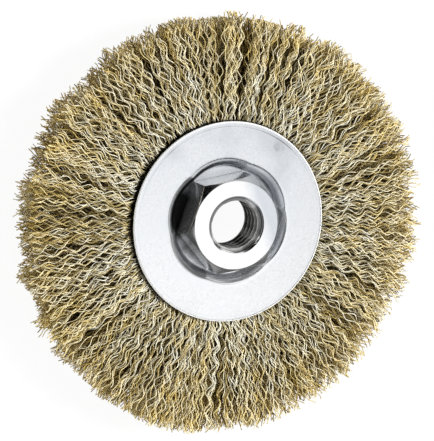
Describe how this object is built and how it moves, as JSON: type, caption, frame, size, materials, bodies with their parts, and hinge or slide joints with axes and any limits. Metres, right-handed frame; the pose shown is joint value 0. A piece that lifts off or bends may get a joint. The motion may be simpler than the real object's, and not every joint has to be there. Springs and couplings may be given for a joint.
{
  "type": "wire wheel brush",
  "caption": "Crimped wire wheel brush: a round fill of wavy brass-coated wires clamped between two stamped flanges, with a threaded hexagon hub nut for an angle grinder's spindle.",
  "frame": {"origin": "on the brush's axis, at the outer face of the rear flange, on which the brush lies", "axes": "+Z along the brush's axis, out of the hub nut's face; +X through a corner of the nut's hexagon"},
  "size_m": [0.105, 0.105, 0.0172],
  "materials": {
    "wires": "brass-coated steel wire, crimped, bright at the bends and dark between the wires",
    "ring_steel": "plain steel rod",
    "flange_zinc": "bright zinc-plated sheet steel, satin, finely scuffed",
    "nut_zinc": "bright zinc-plated steel with turned face and cut thread"
  },
  "bodies": {
    "root": {"wire_row_rear": "wires", "wire_row_front": "wires", "core_ring": "ring_steel", "front_flange": "flange_zinc", "rear_flange": "flange_zinc", "hub_nut": "nut_zinc"}
  },
  "joints": []
}
